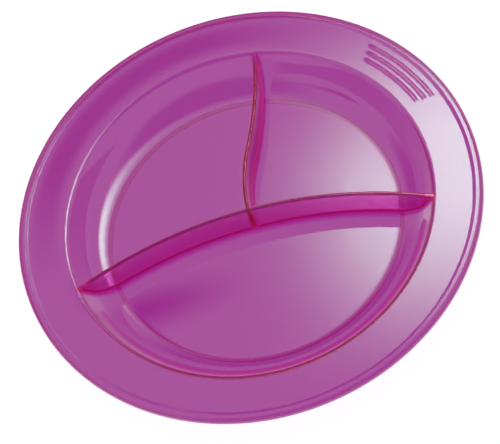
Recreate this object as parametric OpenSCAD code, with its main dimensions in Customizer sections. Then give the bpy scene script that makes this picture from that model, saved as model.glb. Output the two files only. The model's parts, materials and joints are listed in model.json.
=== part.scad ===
// Divided compartment plate: one clear tinted moulding with a dished well, a broad rim,
// two curved dividers and three grip ribs. Millimetres, +Z up.
// The origin is the centre of the foot ring, on the surface that the plate stands on.
// The large compartment lies towards -Y, and the S-curved divider runs towards +Y.

/* [Well] */
// Diameter of the well at its upper edge
well_d = 209; // [194:1:218]
// Depth of the well, from its upper edge to the floor
well_depth = 18.6; // [15:0.2:28]
// Slope of the well's side above its fillet, in degrees
wall_slope = 58; // [50:1:72]
// Radius of the wide fillet between the floor and the side
fillet_r = 20; // [8:0.5:22]
// Radius that rounds the well's upper edge
edge_r = 4; // [3:0.5:8]
// Thickness of the moulding
wall_t = 2.2; // [1.6:0.1:3]

/* [Rim] */
// Width of the rim, from the well's edge to the lip, seen from above
rim_w = 19.5; // [17:0.5:30]
// Upward tilt of the rim, in degrees
rim_tilt = 2; // [0:0.5:10]
// Width of the raised lip
lip_w = 6; // [5:0.5:8]
// Height of the lip above the end of the rim
lip_rise = 1.1; // [0.6:0.1:2]
// Width of the ramp that leads up to the lip
lip_ramp_w = 2; // [1:0.2:2.6]
// Radius on the lip's outer edge
lip_round = 2; // [1:0.2:2.2]
// Height of the turned-down skirt, from the top of the lip
skirt_h = 3.8; // [3:0.2:8]
// Thickness of the turned-down skirt
skirt_t = 1.8; // [1.4:0.1:2.2]

/* [Foot] */
// Height of the foot ring below the floor
foot_h = 1.5; // [1:0.1:4]
// Width of the foot ring where it stands
foot_w = 2.4; // [1.6:0.1:4]
// Distance from the edge of the flat floor out to the middle of the foot ring
foot_out = 2.9; // [2:0.1:6]

/* [Dividers] */
// Thickness of the dividers along their top
divider_t = 2.2; // [1.8:0.1:3]
// Draft on each face of the dividers, in degrees
divider_draft = 1.5; // [0.5:0.25:3]
// How far the divider tops lie below the well's edge
divider_drop = 0.3; // [0.2:0.1:4]
// Radius on the dividers' top corners
divider_round = 0.8; // [0.2:0.1:0.8]
// Radius of the fillet along the dividers' feet
root_r = 1.4; // [0.6:0.1:2.5]
// Radius of the long divider's bow
bow_r = 242; // [180:1:400]
// Distance from the plate's centre to the middle of the long divider
bow_offset = 0; // [0:0.5:20]
// Lean of the short divider where it leaves the long one, in degrees
s_lean = 1.5; // [-10:0.5:10]
// Radius of the short divider's first bend
s_first_r = 105; // [80:1:160]
// Sweep of the short divider's first bend, in degrees
s_first_sweep = 23; // [10:1:32]
// Radius of the short divider's second bend
s_second_r = 220; // [150:1:400]

/* [Grip ribs] */
// Height of the ribs above the rim
rib_h = 0.8; // [0.4:0.1:1.2]
// Width of each rib
rib_w = 2.4; // [2:0.1:3.2]
// Distance from one rib to the next
rib_pitch = 4.4; // [3.6:0.1:4.8]
// Distance from the lip to the middle of the outer rib
rib_gap = 3.8; // [2.6:0.1:4]
// Direction of the ribs from the plate's centre, in degrees
rib_angle = 32; // [0:0.5:90]
// Length of the inner rib, along its arc
rib_len = 42; // [20:1:70]
// How much longer each rib is than the one inside it
rib_growth = 4.5; // [0:0.5:8]

/* [Hidden] */
$fn = 180;

// Most that a chord of a profile's arc lies inside the arc
chord_gap = 0.02;
// Number of grip ribs, and the run of their end ramps for each unit of rise
rib_count = 3;
rib_ramp_share = 1.6;

clear_magenta = [0.66, 0.25, 0.60, 0.75];
edge_magenta = [0.55, 0.17, 0.40, 0.85];

// One overrun serves every cut
overrun = 1;

// Levels
floor_z = foot_h + wall_t;
edge_z = floor_z + well_depth;
divider_z = edge_z - divider_drop;

// Directions in the revolved profile: along the rim, and down out of its upper face
rim_dir = [cos(rim_tilt), sin(rim_tilt)];
rim_down = [sin(rim_tilt), -cos(rim_tilt)];
// Outwards and down, square to the straight slope of the well's side
slope_out = [sin(wall_slope), -cos(wall_slope)];

// Upper edge of the well, where the rim starts, and the centre of its rounding
edge_p = [well_d / 2, edge_z];
round_c = edge_p + edge_r * rim_down;
// The side falls from the rounding to the fillet, whose centre stands over the floor's edge
slope_top = round_c - edge_r * slope_out;
fillet_end_z = floor_z + fillet_r * (1 - cos(wall_slope));
fillet_end = [slope_top.x - (slope_top.y - fillet_end_z) / tan(wall_slope), fillet_end_z];
fillet_c = fillet_end - fillet_r * slope_out;
floor_r = fillet_c.x;

// Centre of the long divider's bow
bow_c = [0, -bow_offset - bow_r];

// Outer end of the rim, where the lip starts, and the outside of the lip
lip_p = edge_p + [rim_w, rim_w * tan(rim_tilt)];
lip_z = lip_p.y + lip_rise;
outer_r = lip_p.x + lip_w;

// Points along an arc of radius r round c, from one angle to another
function arc(c, r, from, to) =
    let (steps = ceil(abs(to - from) / (2 * acos(1 - chord_gap / r))))
    [for (i = [0 : steps]) let (turn = from + (to - from) * i / steps) c + r * [cos(turn), sin(turn)]];

function reversed(points) = [for (i = [len(points) - 1 : -1 : 0]) points[i]];

// The side of the well from the floor's edge to the rim, on a surface that lies t under the upper one
function side_line(t) = concat(
    arc(fillet_c, fillet_r + t, 270, 270 + wall_slope),
    arc(round_c, edge_r - t, 90 + wall_slope, 90 + rim_tilt)
);

// Profile of everything that lies over that surface, up to the well's edge
module over_profile(t) {
    polygon(concat([[0, floor_z - t]], side_line(t), [edge_p, [0, edge_z]]));
}

// Half the thickness of a divider at its top and at its foot
top_half = divider_t / 2;
foot_half = top_half + (divider_z - floor_z) * tan(divider_draft);

// Right half of a divider's outline: its root fillet, its drafted face and its rounded top corner
function divider_half() =
    let (root_x = foot_half + root_r * (1 / cos(divider_draft) - tan(divider_draft)))
    concat(
        arc([root_x, floor_z + root_r], root_r, 270, 180 + divider_draft),
        arc([top_half - divider_round, divider_z - divider_round], divider_round, 0, 90)
    );

// Profile of a divider, standing on the floor with its middle on the profile's axis
module divider_profile() {
    half = divider_half();
    polygon(concat(half, reversed([for (p = half) [-p.x, p.y]])));
}

// A divider bent to radius r, from the angle start over sweep, round the centre c
module bent_divider(c, r, start, sweep) {
    translate(c)
        rotate(start)
            rotate_extrude(angle = sweep)
                translate([r, 0])
                    divider_profile();
}

// Only what lies in the well stays of a divider, so that it seats on the floor and the side
module within_well() {
    intersection() {
        children();
        rotate_extrude()
            over_profile(0);
    }
}

module floor_disc() {
    color(clear_magenta)
        translate([0, 0, foot_h])
            cylinder(r = floor_r, h = wall_t);
}

module well_wall() {
    color(clear_magenta)
        rotate_extrude()
            polygon(concat(side_line(0), reversed(side_line(wall_t))));
}

module rim_flange() {
    color(clear_magenta)
        rotate_extrude()
            polygon([edge_p, lip_p, lip_p + wall_t * rim_down, edge_p + wall_t * rim_down]);
}

module rim_lip() {
    crown_r = lip_p.x + lip_ramp_w;
    under_z = lip_z - wall_t;
    color(clear_magenta)
        rotate_extrude()
            polygon(concat(
                [lip_p, [crown_r, lip_z]],
                arc([outer_r - lip_round, lip_z - lip_round], lip_round, 90, 0),
                [
                    [outer_r, lip_z - skirt_h],
                    [outer_r - skirt_t, lip_z - skirt_h],
                    [outer_r - skirt_t, under_z],
                    [crown_r, under_z],
                    lip_p + wall_t * rim_down
                ]
            ));
}

module foot_ring() {
    middle_r = floor_r + foot_out;
    color(clear_magenta)
        rotate_extrude()
            difference() {
                translate([middle_r - foot_w / 2, 0])
                    square([foot_w, floor_z]);
                over_profile(wall_t);
            }
}

module long_divider() {
    half_sweep = asin((well_d / 2 + overrun) / bow_r);
    color(edge_magenta)
        within_well()
            bent_divider(bow_c, bow_r, 90 - half_sweep, 2 * half_sweep);
}

// What the short divider leaves free for the long one, which is almost straight where they meet
module behind_long_divider() {
    meet_w = 6 * divider_t;
    behind = -3 * divider_t;
    top_z = divider_z + overrun;
    bottom_z = floor_z - overrun;
    translate([-meet_w / 2, -bow_offset, 0])
        rotate([90, 0, 90])
            linear_extrude(meet_w)
                polygon([[behind, bottom_z], [foot_half, bottom_z], [top_half, top_z], [behind, top_z]]);
}

module short_divider() {
    start_p = [0, -bow_offset];
    // The first bend starts inside the long divider and turns right, and the second turns back left
    lean_1 = 90 + s_lean;
    lean_2 = lean_1 - s_first_sweep;
    centre_1 = start_p + s_first_r * [sin(lean_1), -cos(lean_1)];
    bend_p = centre_1 - s_first_r * [sin(lean_2), -cos(lean_2)];
    centre_2 = bend_p - s_second_r * [sin(lean_2), -cos(lean_2)];
    inside_sweep = divider_t / s_first_r * 180 / PI;
    left_over = well_d / 2 - norm(bend_p) + overrun;
    second_sweep = 2 * asin(left_over / s_second_r / 2);
    color(edge_magenta)
        difference() {
            within_well()
                union() {
                    bent_divider(centre_1, s_first_r, lean_2 + 90, s_first_sweep + inside_sweep);
                    bent_divider(centre_2, s_second_r, lean_2 - 90, second_sweep);
                }
            behind_long_divider();
        }
}

// Right half of a rib's outline, standing on the rim with its middle on the outline's axis
function rib_half() =
    let (
        crown_r = (rib_h * rib_h + rib_w * rib_w / 4) / (2 * rib_h),
        foot_angle = asin(1 - rib_h / crown_r)
    )
    arc([0, rib_h - crown_r], crown_r, foot_angle, 90);

// Rib number n, counted from the inner one: a bent bar with a round crown, ramped down at its ends
module grip_rib(n) {
    from_lip = rib_gap + (rib_count - 1 - n) * rib_pitch;
    middle_p = lip_p - from_lip * [1, tan(rim_tilt)];
    half_len = (rib_len + n * rib_growth) / 2;
    half_span = asin((half_len + overrun) / middle_p.x);
    half = rib_half();
    outline = concat(half, reversed([for (p = half) [-p.x, p.y]]));
    ramp_run = rib_ramp_share * overrun;
    color(edge_magenta)
        rotate(rib_angle)
            intersection() {
                rotate(-half_span)
                    rotate_extrude(angle = 2 * half_span)
                        polygon([for (p = outline) middle_p + p.x * rim_dir - p.y * rim_down]);
                translate([middle_p.x, 0, middle_p.y - overrun])
                    cylinder(r1 = half_len + ramp_run, r2 = half_len - ramp_run, h = 2 * overrun);
            }
}

floor_disc();
well_wall();
rim_flange();
rim_lip();
foot_ring();
long_divider();
short_divider();
grip_rib(0);  // grip_rib_inner
grip_rib(1);  // grip_rib_middle
grip_rib(2);  // grip_rib_outer
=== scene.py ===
# %% [markdown]
# # A divided picnic plate in clear magenta plastic
# The real plate is one injection moulding. A dished well with a foot ring under it is ringed by a
# broad, almost level rim, and two curved blades part the well into three compartments. This lesson
# dresses the packed model of that plate. The packed model is loaded first and never moved, because
# every size below is either read from it or written once as a real size in metres.

# %% Load the packed model
import json
import math

import bmesh
import bpy
from mathutils import Matrix, Vector

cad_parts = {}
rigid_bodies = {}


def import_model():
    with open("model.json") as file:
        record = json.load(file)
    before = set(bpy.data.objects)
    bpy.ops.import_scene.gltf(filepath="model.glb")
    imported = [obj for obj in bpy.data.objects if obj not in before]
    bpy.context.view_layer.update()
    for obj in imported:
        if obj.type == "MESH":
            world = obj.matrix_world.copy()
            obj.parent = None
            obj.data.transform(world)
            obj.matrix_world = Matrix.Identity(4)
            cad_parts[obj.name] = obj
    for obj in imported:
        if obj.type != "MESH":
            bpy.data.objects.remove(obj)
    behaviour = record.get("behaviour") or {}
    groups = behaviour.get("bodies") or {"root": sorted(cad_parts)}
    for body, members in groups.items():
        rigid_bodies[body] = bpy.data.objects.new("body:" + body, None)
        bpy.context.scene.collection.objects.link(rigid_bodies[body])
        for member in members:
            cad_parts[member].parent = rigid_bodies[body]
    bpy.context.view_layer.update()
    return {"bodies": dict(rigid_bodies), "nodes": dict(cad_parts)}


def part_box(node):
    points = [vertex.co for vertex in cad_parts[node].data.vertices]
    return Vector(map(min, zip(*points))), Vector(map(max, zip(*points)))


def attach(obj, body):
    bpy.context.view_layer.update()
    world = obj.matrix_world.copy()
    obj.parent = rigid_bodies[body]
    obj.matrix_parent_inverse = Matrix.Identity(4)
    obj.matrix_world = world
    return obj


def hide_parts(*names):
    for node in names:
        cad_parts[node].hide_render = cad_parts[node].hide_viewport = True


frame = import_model()
print("packed nodes:", sorted(frame["nodes"]))

# %% [markdown]
# ## Sizes
# The plate is round, so most of its sizes are radii and levels. They are read off the packed nodes:
# the reach of a node from the axis and its lowest and highest level. What a box or a reach can't
# tell, such as the radius of a fillet, is written here once.

# %% Radii and levels of the packed plate
MM = 0.001


def reach(node):
    """Least and greatest distance of a packed node from the plate's axis."""
    spans = [Vector(vert.co[:2]).length for vert in frame["nodes"][node].data.vertices]
    return min(spans), max(spans)


def levels(node):
    """Lowest and highest level of a packed node."""
    low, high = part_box(node)
    return low.z, high.z


floor_r = reach("floor_disc")[1]
under_z, floor_z = levels("floor_disc")
edge_r = reach("rim_flange")[0]
edge_z = levels("well_wall")[1]
lip_in_r, outer_r = reach("rim_lip")
skirt_z, lip_z = levels("rim_lip")
foot_in_r, foot_out_r = reach("foot_ring")
divider_z = levels("long_divider")[1]
wall = floor_z - under_z
print("floor, well edge, lip and outer radius in mm:",
      [round(r / MM, 1) for r in (floor_r, edge_r, lip_in_r, outer_r)])

# %% Sizes that the nodes' boxes don't tell
wall_slope = math.radians(58)
rim_tilt = math.radians(2)
fillet_r = 20 * MM
edge_round = 4 * MM
lip_ramp = 1.6 * MM
ramp_start = 0.4 * MM
lip_round = 2 * MM
skirt_t = 1.8 * MM
small_round = 0.4 * MM
print("radii of fillet, edge and lip in mm:",
      [round(r / MM, 1) for r in (fillet_r, edge_round, lip_round)])

# %% [markdown]
# ## A pen for profiles
# A turned shape starts as its profile. Two of Blender's own operators draw one like a pen: extruding
# the last vertex gives a straight stroke, and spinning it about a centre gives a true arc. That keeps
# each round stretch exact, with no list of points worked out by hand.

# %% A pen that draws a profile in the XZ plane
FORWARD = Vector((0, 1, 0))


class Pen:
    """Draws a chain of edges in the XZ plane, from one vertex."""

    def __init__(self, mesh, x, z):
        self.mesh = mesh
        self.tip = mesh.verts.new((x, 0, z))

    def line(self, x, z, steps=1):
        """A straight stroke to a point, in equal steps."""
        stride = (Vector((x, 0, z)) - self.tip.co) / steps
        for _ in range(steps):
            made = bmesh.ops.extrude_vert_indiv(self.mesh, verts=[self.tip])
            self.tip = made["verts"][0]
            self.tip.co += stride

    def arc(self, centre_x, centre_z, angle, steps):
        """An arc round a centre. A positive angle turns from +Z towards +X."""
        made = bmesh.ops.spin(
            self.mesh, geom=[self.tip], cent=(centre_x, 0, centre_z), axis=FORWARD,
            angle=angle, steps=steps, use_duplicate=False,
        )
        self.tip = next(v for v in made["geom_last"] if isinstance(v, bmesh.types.BMVert))


print("strokes of a pen:", [stroke for stroke in vars(Pen) if not stroke.startswith("_")])

# %% [markdown]
# ## From mesh to piece
# Each finished piece is one mesh whose object stays at the origin, so a pattern that reads Object
# coordinates lies still on it. Its faces are smooth, apart from real corners. A piece rides on the
# plate's one body, and it stands for the packed nodes whose shape it carries.

# %% Finish a mesh as a piece
CORNER = math.radians(38)
MERGE_GAP = 0.001 * MM
BODY = next(iter(frame["bodies"]))


def add_object(name, mesh, material):
    """Puts a bmesh into the scene as an object at the origin."""
    data = bpy.data.meshes.new(name)
    mesh.to_mesh(data)
    mesh.free()
    data.materials.append(material)
    made = bpy.data.objects.new(name, data)
    bpy.context.scene.collection.objects.link(made)
    return made


def make_piece(name, mesh, material, *nodes):
    """Turns a bmesh into a smooth piece that stands for packed nodes."""
    bmesh.ops.recalc_face_normals(mesh, faces=mesh.faces)
    open_edges = sum(len(edge.link_faces) != 2 for edge in mesh.edges)
    piece = add_object(name, mesh, material)
    piece.data.shade_smooth()
    piece.data.set_sharp_from_angle(angle=CORNER)
    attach(piece, BODY)
    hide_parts(*nodes)
    print(name, "stands for", list(nodes))
    print("    faces:", len(piece.data.polygons), "open edges:", open_edges)
    return piece


print("faces meet in a corner past", round(math.degrees(CORNER)), "degrees")

# %% [markdown]
# ## The plastic
# Clear tinted plastic has almost no colour of its own surface. Its dye lies in the bulk, so a longer
# way through it looks deeper: the thin walls are orchid pink, and the dividers seen along their
# height turn brown red. A Volume Absorption does just that, where a tinted surface couldn't. Its
# colour says how much of red, green and blue passes, and its density how fast the rest is lost. The
# blades have a dye of their own, which takes more red and less green, and a tinted shine. The light
# sources shine through the plastic by a Transparent shader that only shadow rays see.
#
# What the faces of the plastic mirror of one another is painted: a ray that meets plastic after a
# mirror turn sees a plain painted glow instead, a painted reflection that is deep just beside the
# mirroring face, paler farther off, even in the distance, and plum inside the wall.
#
# A moulding is glossy but never perfect. One node group gives every part of it the faint waves of
# the mould and the fine scuffs of handling, each with its own values.

# %% A node group for a moulded surface
def empty_material(name):
    """A material whose node tree is still empty."""
    material = bpy.data.materials.new(name)
    material.use_nodes = True
    material.node_tree.nodes.clear()
    return material


def add_node(tree, kind, **values):
    """A node of a kind, with its sockets set by name."""
    node = tree.nodes.new(kind)
    for socket, value in values.items():
        node.inputs[socket.replace("_", " ")].default_value = value
    return node


def moulded_surface():
    """Faint mould waves as a normal, and handling scuffs as roughness."""
    group = bpy.data.node_groups.new("moulded_surface", "ShaderNodeTree")
    face = group.interface
    sockets = (
        ("Polish", "INPUT", "NodeSocketFloat"), ("Scuffs", "INPUT", "NodeSocketFloat"),
        ("Wave Height", "INPUT", "NodeSocketFloat"),
        ("Roughness", "OUTPUT", "NodeSocketFloat"), ("Normal", "OUTPUT", "NodeSocketVector"),
    )
    for name, way, kind in sockets:
        face.new_socket(name=name, in_out=way, socket_type=kind)
    taken = group.nodes.new("NodeGroupInput")
    given = group.nodes.new("NodeGroupOutput")
    place = group.nodes.new("ShaderNodeTexCoord")
    waves = add_node(group, "ShaderNodeTexNoise", Scale=34.0, Detail=1.0, Roughness=0.4)
    scuffs = add_node(group, "ShaderNodeTexNoise", Scale=190.0, Detail=4.0, Roughness=0.65)
    picked = add_node(group, "ShaderNodeMapRange", From_Min=0.45, From_Max=0.75)
    spread = group.nodes.new("ShaderNodeMath")
    spread.operation = "MULTIPLY_ADD"
    bump = add_node(group, "ShaderNodeBump", Strength=1.0)
    join = group.links.new
    join(place.outputs["Object"], waves.inputs["Vector"])
    join(place.outputs["Object"], scuffs.inputs["Vector"])
    join(scuffs.outputs["Fac"], picked.inputs["Value"])
    join(picked.outputs["Result"], spread.inputs[0])
    join(taken.outputs["Scuffs"], spread.inputs[1])
    join(taken.outputs["Polish"], spread.inputs[2])
    join(spread.outputs["Value"], given.inputs["Roughness"])
    join(waves.outputs["Fac"], bump.inputs["Height"])
    join(taken.outputs["Wave Height"], bump.inputs["Distance"])
    join(bump.outputs["Normal"], given.inputs["Normal"])
    return group


surface_group = moulded_surface()
print("node group:", surface_group.name)

# %% The painted reflection on mirrored plastic
# Painted reflection: colours of the glow that stands in for what plastic mirrors of plastic.
PAINTED_NEAR_REFLECTION = (0.56, 0.08, 0.34, 1)
PAINTED_PALE_REFLECTION = (1.20, 1.20, 1.20, 1)
PAINTED_FAR_REFLECTION = (0.80, 0.68, 0.82, 1)
PAINTED_INNER_REFLECTION = (0.34, 0.0, 0.38, 1)
PAINTED_REFLECTION_SPAN = (20 * MM, 34 * MM)


def painted_reflection_glow(tree, near, far, far_tint):
    """A painted reflection: the glow that a mirror turn finds on plastic, outside or inside the wall.
    """
    light_path = tree.nodes.new("ShaderNodeLightPath")
    surface = tree.nodes.new("ShaderNodeNewGeometry")
    farness = add_node(tree, "ShaderNodeMapRange", From_Min=near, From_Max=far)
    distance = add_node(tree, "ShaderNodeMapRange", From_Min=PAINTED_REFLECTION_SPAN[0], From_Max=PAINTED_REFLECTION_SPAN[1])
    outside = tree.nodes.new("ShaderNodeMixRGB")
    afar = tree.nodes.new("ShaderNodeMixRGB")
    either = tree.nodes.new("ShaderNodeMixRGB")
    outside.inputs["Color1"].default_value = PAINTED_NEAR_REFLECTION
    outside.inputs["Color2"].default_value = far_tint
    afar.inputs["Color2"].default_value = PAINTED_FAR_REFLECTION
    either.inputs["Color2"].default_value = PAINTED_INNER_REFLECTION
    glow = tree.nodes.new("ShaderNodeEmission")
    join = tree.links.new
    join(light_path.outputs["Ray Length"], farness.inputs["Value"])
    join(farness.outputs["Result"], outside.inputs["Fac"])
    join(light_path.outputs["Ray Length"], distance.inputs["Value"])
    join(distance.outputs["Result"], afar.inputs["Fac"])
    join(outside.outputs["Color"], afar.inputs["Color1"])
    join(afar.outputs["Color"], either.inputs["Color1"])
    join(surface.outputs["Backfacing"], either.inputs["Fac"])
    join(either.outputs["Color"], glow.inputs["Color"])
    return glow


print("the glow is even from", round(PAINTED_REFLECTION_SPAN[1] / MM), "mm on")

# %% Dyes and shines of the plastic
PLATE_DYE = (0.986, 0.045, 0.86, 1)
BLADE_DYE = (0.962, 0.50, 0.88, 1)
DYE_DENSITY = 1100.0
PLATE_SHINE = (1, 1, 1, 1)
BLADE_SHINE = (1, 0.3, 0.5, 1)
# Painted reflection of each plastic: where its glow starts and ends, and its far tint.
PLATE_PAINTED_REFLECTION = (12 * MM, 42 * MM, PAINTED_FAR_REFLECTION)
BLADE_PAINTED_REFLECTION = (4 * MM, 8 * MM, PAINTED_PALE_REFLECTION)
print("dye strength per metre:", DYE_DENSITY)


# %% The clear magenta plastic
def clear_plastic(name, dye_tint, shine_tint, painted_reflection, polish, scuffs, wave_height):
    """Dyed clear plastic with a painted reflection after a mirror turn. The dye's strength is per
    metre.
    """
    material = empty_material(name)
    tree = material.node_tree
    plastic = add_node(
        tree, "ShaderNodeBsdfPrincipled",
        Base_Color=(1, 1, 1, 1), IOR=1.52, Transmission_Weight=1.0, Specular_Tint=shine_tint,
    )
    moulded = tree.nodes.new("ShaderNodeGroup")
    moulded.node_tree = surface_group
    moulded.inputs["Polish"].default_value = polish
    moulded.inputs["Scuffs"].default_value = scuffs
    moulded.inputs["Wave Height"].default_value = wave_height
    dye = add_node(tree, "ShaderNodeVolumeAbsorption", Color=dye_tint, Density=DYE_DENSITY)
    light_path = tree.nodes.new("ShaderNodeLightPath")
    shine_through = add_node(tree, "ShaderNodeBsdfTransparent", Color=(0.96, 0.96, 0.96, 1))
    # A glossy ray that is not a transmission ray sees this painted reflection glow, not the plastic.
    glow = painted_reflection_glow(tree, *painted_reflection)
    mix = tree.nodes.new("ShaderNodeMixShader")
    turned = tree.nodes.new("ShaderNodeMixShader")
    after_turn = tree.nodes.new("ShaderNodeMath")
    after_turn.operation = "SUBTRACT"
    after_turn.use_clamp = True
    output = tree.nodes.new("ShaderNodeOutputMaterial")
    join = tree.links.new
    join(moulded.outputs["Roughness"], plastic.inputs["Roughness"])
    join(moulded.outputs["Normal"], plastic.inputs["Normal"])
    join(light_path.outputs["Is Shadow Ray"], mix.inputs["Fac"])
    join(plastic.outputs["BSDF"], mix.inputs[1])
    join(shine_through.outputs["BSDF"], mix.inputs[2])
    join(light_path.outputs["Is Glossy Ray"], after_turn.inputs[0])
    join(light_path.outputs["Is Transmission Ray"], after_turn.inputs[1])
    join(after_turn.outputs["Value"], turned.inputs["Fac"])
    join(mix.outputs["Shader"], turned.inputs[1])
    join(glow.outputs["Emission"], turned.inputs[2])
    join(turned.outputs["Shader"], output.inputs["Surface"])
    join(dye.outputs["Volume"], output.inputs["Volume"])
    return material


plate_plastic = clear_plastic(
    "clear_magenta_plate", PLATE_DYE, PLATE_SHINE, PLATE_PAINTED_REFLECTION,
    polish=0.035, scuffs=0.05, wave_height=0.008 * MM,
)
blade_plastic = clear_plastic(
    "clear_magenta_blade", BLADE_DYE, BLADE_SHINE, BLADE_PAINTED_REFLECTION,
    polish=0.05, scuffs=0.04, wave_height=0.01 * MM,
)
print("materials:", plate_plastic.name, blade_plastic.name)

# %% [markdown]
# ## The plate's shell
# Floor, well side, rim, lip, skirt and foot ring are one wall of even thickness, so the shell is one
# closed profile spun about the plate's axis. Were it cut into parts that touch, each cut would be a
# mirror inside the clear plastic. The pen walks from the axis out along the upper face, round the
# lip, and back along the lower face.

# %% Points that the profile turns on
out_of_slope = Vector((math.sin(wall_slope), -math.cos(wall_slope)))
out_of_rim = Vector((math.sin(rim_tilt), -math.cos(rim_tilt)))
fillet_c = Vector((floor_r, floor_z + fillet_r))
fillet_end = fillet_c + fillet_r * out_of_slope
edge_p = Vector((edge_r, edge_z))
round_c = edge_p + edge_round * out_of_rim
slope_top = round_c - edge_round * out_of_slope
ramp_r = lip_in_r + ramp_start
lip_p = Vector((ramp_r, edge_z + (ramp_r - edge_r) * math.tan(rim_tilt)))
crown_r = ramp_r + lip_ramp
inside_z = lip_z - wall
print("well edge and lip foot in mm:", edge_p / MM, lip_p / MM)

# %% Strokes of the upper face
FILLET_STEPS = 18
EDGE_STEPS = 14
RIM_STEPS = 64
ROUND_STEPS = 7


def draw_upper_face(pen):
    """From the axis over the floor, the well's side and the rim to the skirt's lower corner."""
    pen.line(floor_r, floor_z, steps=4)
    pen.arc(fillet_c.x, fillet_c.y, -wall_slope, FILLET_STEPS)
    pen.line(slope_top.x, slope_top.y)
    pen.arc(round_c.x, round_c.y, wall_slope - rim_tilt, EDGE_STEPS)
    pen.line(lip_p.x, lip_p.y, steps=RIM_STEPS)
    pen.line(crown_r, lip_z, steps=5)
    pen.line(outer_r - lip_round, lip_z, steps=4)
    pen.arc(outer_r - lip_round, lip_z - lip_round, math.pi / 2, ROUND_STEPS)
    pen.line(outer_r, skirt_z + small_round)
    pen.arc(outer_r - small_round, skirt_z + small_round, math.pi / 2, ROUND_STEPS // 2)


print("steps round the fillet and across the rim:", FILLET_STEPS, RIM_STEPS)


# %% Strokes of the lower face
def draw_lower_face(pen):
    """From the skirt back inwards, round the foot ring, to the axis under the floor."""
    inner_r = outer_r - skirt_t
    rim_under = lip_p + wall * out_of_rim
    edge_under = edge_p + wall * out_of_rim
    fillet_under = fillet_end + wall * out_of_slope
    pen.line(inner_r + small_round, skirt_z)
    pen.arc(inner_r + small_round, skirt_z + small_round, math.pi / 2, ROUND_STEPS // 2)
    pen.line(inner_r, inside_z - small_round)
    pen.arc(inner_r - small_round, inside_z - small_round, -math.pi / 2, ROUND_STEPS // 2)
    pen.line(crown_r, inside_z)
    pen.line(rim_under.x, rim_under.y)
    pen.line(edge_under.x, edge_under.y, steps=4)
    pen.arc(round_c.x, round_c.y, rim_tilt - wall_slope, EDGE_STEPS)
    pen.line(fillet_under.x, fillet_under.y)
    draw_foot(pen)
    pen.line(0, under_z, steps=4)


def fillet_angle(radius):
    """Angle from straight down to where the well's lower fillet face has that radius."""
    return math.asin((radius - floor_r) / (fillet_r + wall))


def draw_foot(pen):
    """The rest of the lower fillet, with the foot ring that stands out of it."""
    outer_turn = fillet_angle(foot_out_r)
    inner_turn = fillet_angle(foot_in_r)
    reach_r = fillet_r + wall
    pen.arc(fillet_c.x, fillet_c.y, wall_slope - outer_turn, FILLET_STEPS // 2)
    pen.line(foot_out_r, small_round)
    pen.arc(foot_out_r - small_round, small_round, math.pi / 2, ROUND_STEPS // 2)
    pen.line(foot_in_r + small_round, 0)
    pen.arc(foot_in_r + small_round, small_round, math.pi / 2, ROUND_STEPS // 2)
    pen.line(foot_in_r, fillet_c.y - reach_r * math.cos(inner_turn))
    pen.arc(fillet_c.x, fillet_c.y, inner_turn, FILLET_STEPS // 3)


print("foot ring's inner and outer radius in mm:",
      round(foot_in_r / MM, 1), round(foot_out_r / MM, 1))

# %% [markdown]
# ## Ribs under the thumb
# Three low ribs on the rim are part of the same wall, so they are raised out of the spun shell and not
# laid on it. Their radii, their direction and their length come from the packed ribs. Each has a round
# crown across and runs out gently at its ends.

# %% Where the packed ribs lie
RIBS = ("grip_rib_inner", "grip_rib_middle", "grip_rib_outer")
RUN_OUT = 2.2 * MM


def rib_place(node):
    """Middle radius, half width, height over the rim, middle angle and half length of a packed rib."""
    inner, outer = reach(node)
    turns = [math.atan2(vert.co.y, vert.co.x) for vert in frame["nodes"][node].data.vertices]
    middle_r = (inner + outer) / 2
    rise = levels(node)[1] - (edge_z + (middle_r - edge_r) * math.tan(rim_tilt))
    half_len = (max(turns) - min(turns)) / 2 * middle_r
    return middle_r, (outer - inner) / 2, rise, (max(turns) + min(turns)) / 2, half_len


rib_places = [rib_place(node) for node in RIBS]
print("rib radii and heights in mm:", [(round(p[0] / MM, 1), round(p[2] / MM, 2)) for p in rib_places])


# %% Raise the ribs out of the rim
NEAR_FACE = 0.1 * MM


def bell(share):
    """A smooth hump: 1 at 0, and 0 from 1 on."""
    return 0.5 + 0.5 * math.cos(math.pi * min(1, abs(share)))


def rib_height(radius, turn):
    """How far the ribs lift the rim's upper face at a place on it."""
    lift = 0
    for middle_r, half_w, rise, middle_turn, half_len in rib_places:
        across = (radius - middle_r) / half_w
        past_end = abs(turn - middle_turn) * middle_r - (half_len - RUN_OUT)
        if abs(across) < 1 and past_end < RUN_OUT:
            crown = math.sqrt(1 - across * across)
            lift = max(lift, rise * crown * bell(max(0, past_end) / RUN_OUT))
    return lift


def raise_ribs(mesh):
    """Lifts the rim's upper face into the ribs."""
    for vert in mesh.verts:
        radius = Vector(vert.co[:2]).length
        face_z = edge_z + (radius - edge_r) * math.tan(rim_tilt)
        if edge_r < radius < lip_in_r and abs(vert.co.z - face_z) < NEAR_FACE:
            vert.co.z += rib_height(radius, math.atan2(vert.co.y, vert.co.x))


inner_rib = rib_places[0]
middle_lift = rib_height(inner_rib[0], inner_rib[3])
print("lift at the middle of the inner rib in mm:", round(middle_lift / MM, 2))


# %% Spin the shell
SPIN_STEPS = 480
shell_mesh = bmesh.new()
pen = Pen(shell_mesh, 0, floor_z)
draw_upper_face(pen)
draw_lower_face(pen)
bmesh.ops.spin(
    shell_mesh, geom=shell_mesh.verts[:] + shell_mesh.edges[:], cent=(0, 0, 0), axis=(0, 0, 1),
    angle=2 * math.pi, steps=SPIN_STEPS, use_merge=True, use_duplicate=False,
)
bmesh.ops.remove_doubles(shell_mesh, verts=shell_mesh.verts, dist=MERGE_GAP)
raise_ribs(shell_mesh)
make_piece(
    "plate_shell", shell_mesh, plate_plastic,
    "floor_disc", "well_wall", "rim_flange", "rim_lip", "foot_ring", *RIBS,
)

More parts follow.
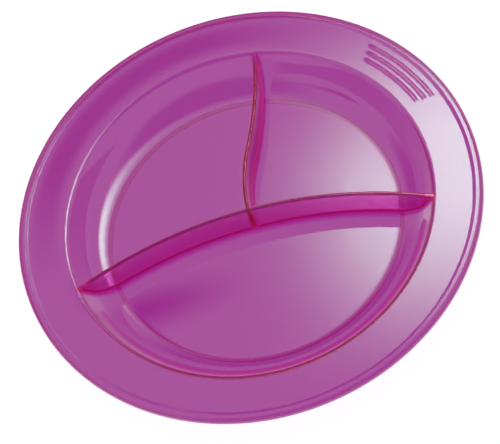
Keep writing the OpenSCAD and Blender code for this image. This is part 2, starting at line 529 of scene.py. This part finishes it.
# %% [markdown]
# ## The dividers
# Each divider is a thin drafted blade, bent along arcs, whose foot follows the floor and climbs the
# well's side. Its section is drawn by the same pen and spun about the centre of the bend. Then the
# section is squeezed between the level top and the surface under it, which seats the foot with a small
# fillet all along. The foot goes a little way into the shell, because two faces in one place flicker.

# %% The surface that the blades stand on
def well_level(radius):
    """Level of the well's upper face at a radius."""
    if radius <= floor_r:
        return floor_z
    if radius <= fillet_end.x:
        turn = math.asin((radius - floor_r) / fillet_r)
        return fillet_c.y - fillet_r * math.cos(turn)
    if radius <= slope_top.x:
        return fillet_end.y + (radius - fillet_end.x) * math.tan(wall_slope)
    turn = math.asin(min(1, max(0, (round_c.x - radius) / edge_round)))
    return round_c.y + edge_round * math.cos(turn)


print("well level at 60, 90 and 100 mm:", [round(well_level(r * MM) / MM, 2) for r in (60, 90, 100)])

# %% Draw the blade's section
blade_t = 2.2 * MM
blade_draft = math.radians(1.5)
top_round = 0.8 * MM
root_r = 0.6 * MM
sunk = 0.9 * MM
LEVELS = 14
top_half = blade_t / 2
foot_half = top_half + (divider_z - floor_z) * math.tan(blade_draft)


def draw_blade_side(mesh, side):
    """One side of the section, from the middle of the top down to the sunk foot. Gives its end."""
    pen = Pen(mesh, 0, divider_z)
    pen.line(side * (top_half - top_round), divider_z)
    pen.arc(side * (top_half - top_round), divider_z - top_round, side * math.pi / 2, steps=5)
    pen.line(side * foot_half, floor_z + root_r, steps=LEVELS)
    pen.arc(side * (foot_half + root_r), floor_z + root_r, -side * math.pi / 2, steps=6)
    pen.line(pen.tip.co.x, floor_z - sunk)
    return pen.tip


print("blade thickness at top and foot in mm:",
      [round(2 * half / MM, 2) for half in (top_half, foot_half)])

# %% Squeeze a bent bar onto the well
LEAST_SHARE = 0.02


def seat_blade(verts):
    """Squeezes a bent bar between its level top and the well's surface."""
    tall = divider_z - floor_z
    for vert in verts:
        surface = well_level(Vector(vert.co[:2]).length)
        share = max(LEAST_SHARE, (divider_z - surface) / tall)
        if vert.co.z < floor_z:
            vert.co.z = surface - sunk
        else:
            vert.co.z = divider_z - (divider_z - vert.co.z) * share


def bent_blade(name, bends, start, turn, material, node):
    """A blade that follows bends, each a (centre, angle, steps), from a start point."""
    mesh = bmesh.new()
    right_foot = draw_blade_side(mesh, 1)
    left_foot = draw_blade_side(mesh, -1)
    mesh.edges.new((right_foot, left_foot))
    bmesh.ops.remove_doubles(mesh, verts=mesh.verts, dist=MERGE_GAP)
    placed = Matrix.Translation(start) @ Matrix.Rotation(turn, 4, "Z")
    bmesh.ops.transform(mesh, matrix=placed, verts=mesh.verts)
    section = mesh.verts[:] + mesh.edges[:]
    for centre, angle, steps in bends:
        made = bmesh.ops.spin(
            mesh, geom=section, cent=centre, axis=(0, 0, 1), angle=angle, steps=steps,
            use_duplicate=False,
        )
        section = made["geom_last"]
    open_edges = [edge for edge in mesh.edges if len(edge.link_faces) == 1]
    bmesh.ops.holes_fill(mesh, edges=open_edges, sides=0)
    seat_blade(mesh.verts)
    return make_piece(name, mesh, material, node)


print("a section keeps at least this share of its height:", LEAST_SHARE)

# %% The long divider
bow_r = 242 * MM
bow_c = Vector((0, -bow_r, 0))
BOW_STEPS = 120
past_end = 0.4 * MM
bow_half = math.asin((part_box("long_divider")[1].x + past_end) / bow_r)
bow_start = bow_c + bow_r * Vector((math.sin(bow_half), math.cos(bow_half), 0))
bent_blade(
    "long_divider_blade", [(bow_c, 2 * bow_half, BOW_STEPS)],
    bow_start, math.pi / 2 - bow_half, blade_plastic, "long_divider",
)

# %% The short divider
s_lean = math.radians(1.5)
s_first_r = 105 * MM
s_first_sweep = math.radians(23)
s_second_r = 220 * MM
FIRST_STEPS = 40
SECOND_STEPS = 60


def left_of(heading):
    """Unit vector square to a heading, to its left."""
    return Vector((-math.sin(heading), math.cos(heading), 0))


first_heading = math.pi / 2 + s_lean
second_heading = first_heading - s_first_sweep
s_start = Vector((0, 0, 0))
s_first_c = s_start - s_first_r * left_of(first_heading)
s_bend = s_first_c + s_first_r * left_of(second_heading)
s_second_c = s_bend + s_second_r * left_of(second_heading)
s_length = edge_r - s_bend.length
bent_blade(
    "short_divider_blade",
    [(s_first_c, -s_first_sweep, FIRST_STEPS), (s_second_c, s_length / s_second_r, SECOND_STEPS)],
    s_start, s_lean, blade_plastic, "short_divider",
)

# %% [markdown]
# ## Floor and backdrop
# The plate lies on a plain pale floor that runs out of sight. The camera sees it white, with the faint
# soft shadow of the plate kept. Light that comes through the plastic sees a calmer, cool grey: a
# painted shade for the floor under the plate. That grey is what gives the clear plastic its depth. A
# face that mirrors the floor sees it white beside the plate and dim under it, a painted shadow.

# %% The floor's material
# Painted shade: the grey that light through the plastic sees, standing for the floor under the plate.
PAINTED_SHADE_THROUGH_PLASTIC = (0.36, 0.33, 0.41, 1)
FLOOR_GREY = (0.12, 0.12, 0.12, 1)
FLOOR_GLOW = 0.93
FLOOR_REACH = 6
# A mirror sees strength 0.25 within 125 mm of the axis, a painted shadow of the plate, and 1.3 from 140
# mm on.
MIRRORED_FLOOR_PAINTED_SHADOW = {"From_Min": 125 * MM, "From_Max": 140 * MM, "To_Min": 0.25, "To_Max": 1.3}


def floor_material():
    """White with a shadow to the camera, painted shade through plastic, white or painted shadow to a
    mirror.
    """
    material = empty_material("plain_floor")
    tree = material.node_tree
    light_path = tree.nodes.new("ShaderNodeLightPath")
    lit = add_node(tree, "ShaderNodeBsdfDiffuse", Color=FLOOR_GREY)
    glow = add_node(tree, "ShaderNodeEmission", Color=(1, 1, 1, 1), Strength=FLOOR_GLOW)
    shade_through_plastic = add_node(tree, "ShaderNodeEmission", Color=PAINTED_SHADE_THROUGH_PLASTIC, Strength=1.0)
    # To a mirror the floor is white beside the plate, with a painted shadow under it.
    painted_shadow_floor = add_node(tree, "ShaderNodeEmission", Color=(1, 1, 1, 1))
    place = tree.nodes.new("ShaderNodeTexCoord")
    from_middle = tree.nodes.new("ShaderNodeVectorMath")
    from_middle.operation = "LENGTH"
    out_of_painted_shadow = add_node(tree, "ShaderNodeMapRange", **MIRRORED_FLOOR_PAINTED_SHADOW)
    not_camera = tree.nodes.new("ShaderNodeMixShader")
    both = tree.nodes.new("ShaderNodeAddShader")
    mix = tree.nodes.new("ShaderNodeMixShader")
    output = tree.nodes.new("ShaderNodeOutputMaterial")
    join = tree.links.new
    join(lit.outputs["BSDF"], both.inputs[0])
    join(glow.outputs["Emission"], both.inputs[1])
    join(light_path.outputs["Is Camera Ray"], mix.inputs["Fac"])
    join(place.outputs["Object"], from_middle.inputs[0])
    join(from_middle.outputs["Value"], out_of_painted_shadow.inputs["Value"])
    join(out_of_painted_shadow.outputs["Result"], painted_shadow_floor.inputs["Strength"])
    join(light_path.outputs["Is Transmission Ray"], not_camera.inputs["Fac"])
    join(painted_shadow_floor.outputs["Emission"], not_camera.inputs[1])
    join(shade_through_plastic.outputs["Emission"], not_camera.inputs[2])
    join(not_camera.outputs["Shader"], mix.inputs[1])
    join(both.outputs["Shader"], mix.inputs[2])
    join(mix.outputs["Shader"], output.inputs["Surface"])
    return material


floor_mesh = bmesh.new()
bmesh.ops.create_circle(floor_mesh, cap_ends=True, segments=96, radius=FLOOR_REACH)
floor = add_object("floor", floor_mesh, floor_material())
print("floor across in m:", floor.dimensions.x)

# %% [markdown]
# ## Light
# A clear glossy thing shows its lamps more than its own shading. So the light is planned from the
# reflections: the softbox and the two black flags hang where the plate mirrors them towards the
# camera. The room is an even white, but dark round the photographer, in one corner and at one wall,
# which keeps the steep faces of the plastic deep.

# %% The dark parts of the room
ROOM_LIGHT = 1.45
TOWARDS_CAMERA = (0.08, -0.53, 0.84)
TOWARDS_DARK_CORNER = (-0.74, 0.53, 0.36)
TOWARDS_DARK_WALL = (-0.15, 0.965, 0.21)


def add_math(tree, operation, first, second):
    """A math node on two values, each a socket or a number."""
    node = tree.nodes.new("ShaderNodeMath")
    node.operation = operation
    for slot, value in enumerate((first, second)):
        if isinstance(value, (int, float)):
            node.inputs[slot].default_value = value
        else:
            tree.links.new(value, node.inputs[slot])
    return node.outputs["Value"]


def dimmed_towards(tree, direction, wide, narrow, least):
    """1 in most of the room, and less within some degrees of a direction."""
    place = tree.nodes.new("ShaderNodeTexCoord")
    nearness = tree.nodes.new("ShaderNodeVectorMath")
    nearness.operation = "DOT_PRODUCT"
    nearness.inputs[1].default_value = direction
    dimming = add_node(tree, "ShaderNodeMapRange", From_Min=math.cos(math.radians(wide)),
                       From_Max=math.cos(math.radians(narrow)), To_Min=1.0, To_Max=least)
    dimming.interpolation_type = "SMOOTHSTEP"
    tree.links.new(place.outputs["Generated"], nearness.inputs[0])
    tree.links.new(nearness.outputs["Value"], dimming.inputs["Value"])
    return dimming.outputs["Result"]


print("dark towards:", TOWARDS_CAMERA, TOWARDS_DARK_CORNER, TOWARDS_DARK_WALL)


# %% The room
def light_room():
    """An even world with its dark parts, and plain white to the camera."""
    room = bpy.data.worlds.new("studio_room")
    bpy.context.scene.world = room
    room.use_nodes = True
    tree = room.node_tree
    tree.nodes.clear()
    photographer = dimmed_towards(tree, TOWARDS_CAMERA, wide=48, narrow=22, least=0.28)
    dark_corner = dimmed_towards(tree, TOWARDS_DARK_CORNER, wide=28, narrow=12, least=0.25)
    dark_wall = dimmed_towards(tree, TOWARDS_DARK_WALL, wide=38, narrow=20, least=0.2)
    dark_side = add_math(tree, "MULTIPLY", dark_corner, dark_wall)
    dark_parts = add_math(tree, "MULTIPLY", photographer, dark_side)
    strength = add_math(tree, "MULTIPLY", dark_parts, ROOM_LIGHT)
    light_path = tree.nodes.new("ShaderNodeLightPath")
    around = add_node(tree, "ShaderNodeBackground", Color=(1, 1, 1, 1))
    behind = add_node(tree, "ShaderNodeBackground", Color=(1, 1, 1, 1), Strength=1.0)
    mix = tree.nodes.new("ShaderNodeMixShader")
    output = tree.nodes.new("ShaderNodeOutputWorld")
    join = tree.links.new
    join(strength, around.inputs["Strength"])
    join(light_path.outputs["Is Camera Ray"], mix.inputs["Fac"])
    join(around.outputs["Background"], mix.inputs[1])
    join(behind.outputs["Background"], mix.inputs[2])
    join(mix.outputs["Shader"], output.inputs["Surface"])
    return room


print("room:", light_room().name)


# %% Cloths that fade at their edges
SOFTBOX_TINT = (0.68, 0.99, 0.81, 1)
BLACK = (0, 0, 0, 1)


def edge_fade(tree, along, near, far):
    """0 at both ends of a run and 1 between, with a soft stretch at each end."""
    rise = add_node(tree, "ShaderNodeMapRange", From_Min=0.0, From_Max=near)
    fall = add_node(tree, "ShaderNodeMapRange", From_Min=1.0, From_Max=1.0 - far)
    for ramp in (rise, fall):
        ramp.interpolation_type = "SMOOTHSTEP"
        tree.links.new(along, ramp.inputs["Value"])
    return add_math(tree, "MULTIPLY", rise.outputs["Result"], fall.outputs["Result"])


def cloth(name, tint, dim, bright, growth, opacity, fades):
    """Glows from dim to bright along its length and fades out at its four edges."""
    material = empty_material(name)
    tree = material.node_tree
    place = tree.nodes.new("ShaderNodeUVMap")
    split = tree.nodes.new("ShaderNodeSeparateXYZ")
    tree.links.new(place.outputs["UV"], split.inputs["Vector"])
    curve = add_math(tree, "POWER", split.outputs["X"], growth)
    glow = add_math(tree, "ADD", add_math(tree, "MULTIPLY", curve, bright - dim), dim)
    along = edge_fade(tree, split.outputs["X"], fades[0], fades[1])
    across = edge_fade(tree, split.outputs["Y"], fades[2], fades[3])
    cover = add_math(tree, "MULTIPLY", add_math(tree, "MULTIPLY", along, across), opacity)
    emission = add_node(tree, "ShaderNodeEmission", Color=tint)
    clear = tree.nodes.new("ShaderNodeBsdfTransparent")
    mix = tree.nodes.new("ShaderNodeMixShader")
    output = tree.nodes.new("ShaderNodeOutputMaterial")
    tree.links.new(glow, emission.inputs["Strength"])
    tree.links.new(cover, mix.inputs["Fac"])
    tree.links.new(clear.outputs["BSDF"], mix.inputs[1])
    tree.links.new(emission.outputs["Emission"], mix.inputs[2])
    tree.links.new(mix.outputs["Shader"], output.inputs["Surface"])
    return material


softbox_cloth = cloth("softbox_cloth", SOFTBOX_TINT, dim=1.8, bright=61.0, growth=2.4, opacity=1.0,
                      fades=(0.45, 0.6, 0.50, 0.4))
rim_flag_cloth = cloth("rim_flag_cloth", BLACK, dim=0.0, bright=0.0, growth=1.0, opacity=0.8,
                       fades=(0.3, 0.35, 0.4, 0.4))
floor_flag_cloth = cloth("floor_flag_cloth", BLACK, dim=0.0, bright=0.0, growth=1.0, opacity=1.0,
                         fades=(0.35, 0.65, 0.5, 0.5))
print("cloths:", softbox_cloth.name, rim_flag_cloth.name, floor_flag_cloth.name)


# %% Hang a card
ARC_PIECES = 48


def hang_card(name, mesh, material):
    """Puts a card into the scene, hidden from the camera and from light through the plastic."""
    card = add_object(name, mesh, material)
    card.visible_camera = False
    card.visible_transmission = False
    card.visible_shadow = False
    print("card", name, "of", [round(side, 3) for side in card.dimensions], "m")


def card_grid(pieces):
    """A unit card along X with its own UV map."""
    mesh = bmesh.new()
    mesh.loops.layers.uv.new("UVMap")
    bmesh.ops.create_grid(mesh, x_segments=pieces, y_segments=1, size=0.5, calc_uvs=True)
    return mesh


def flat_card(name, low, high, height, material):
    """A level card between two corners at a height."""
    mesh = card_grid(1)
    middle = Vector((low[0] + high[0], low[1] + high[1], 2 * height)) / 2
    grow = Matrix.Diagonal((high[0] - low[0], high[1] - low[1], 1, 1))
    bmesh.ops.transform(mesh, matrix=Matrix.Translation(middle) @ grow, verts=mesh.verts)
    hang_card(name, mesh, material)


def arc_card(name, centre, radii, angles, height, material):
    """A level card bent into an arc between two radii and two angles in degrees."""
    mesh = card_grid(ARC_PIECES)
    for vert in mesh.verts:
        turn = math.radians(angles[0] + (angles[1] - angles[0]) * (vert.co.x + 0.5))
        radius = radii[0] + (radii[1] - radii[0]) * (vert.co.y + 0.5)
        ahead = Vector((math.cos(turn), math.sin(turn), 0))
        vert.co = Vector((centre[0], centre[1], height)) + radius * ahead
    hang_card(name, mesh, material)


# %% The softbox and the flags
flat_card("softbox", low=(-0.075, 0.03), high=(0.20, 0.29), height=0.30, material=softbox_cloth)
arc_card("rim_flag", centre=(-0.0027, 0.017), radii=(0.104, 0.127), angles=(55, 195), height=0.05,
         material=rim_flag_cloth)
flat_card("floor_flag", low=(-0.12, 0.004), high=(-0.01, 0.046), height=0.10,
          material=floor_flag_cloth)

# %% [markdown]
# ## Camera
# The photograph was taken with a long lens from above the front edge of the plate, and rolled, so that
# the plate seems to lean. The place and the view of the camera were found by fitting the outlines of
# the rim, of the well and of both dividers.

# %% The camera
CAMERA_AT = Vector((0.1328, -0.8785, 1.4033))
LOOKS = Vector((-0.08125, 0.53135, -0.84325))
ROLL = math.radians(22.135)
LENS = 215.7
SENSOR = 36.0

camera_data = bpy.data.cameras.new("camera")
camera_data.lens = LENS
camera_data.sensor_width = SENSOR
camera_data.clip_start = 0.01
camera = bpy.data.objects.new("camera", camera_data)
bpy.context.scene.collection.objects.link(camera)
level = LOOKS.to_track_quat("-Z", "Y").to_matrix().to_4x4()
camera.matrix_world = Matrix.Translation(CAMERA_AT) @ level @ Matrix.Rotation(-ROLL, 4, "Z")
bpy.context.scene.camera = camera
bpy.context.scene.view_settings.view_transform = "Standard"
print("camera at", tuple(round(v, 3) for v in camera.location))

# %% [markdown]
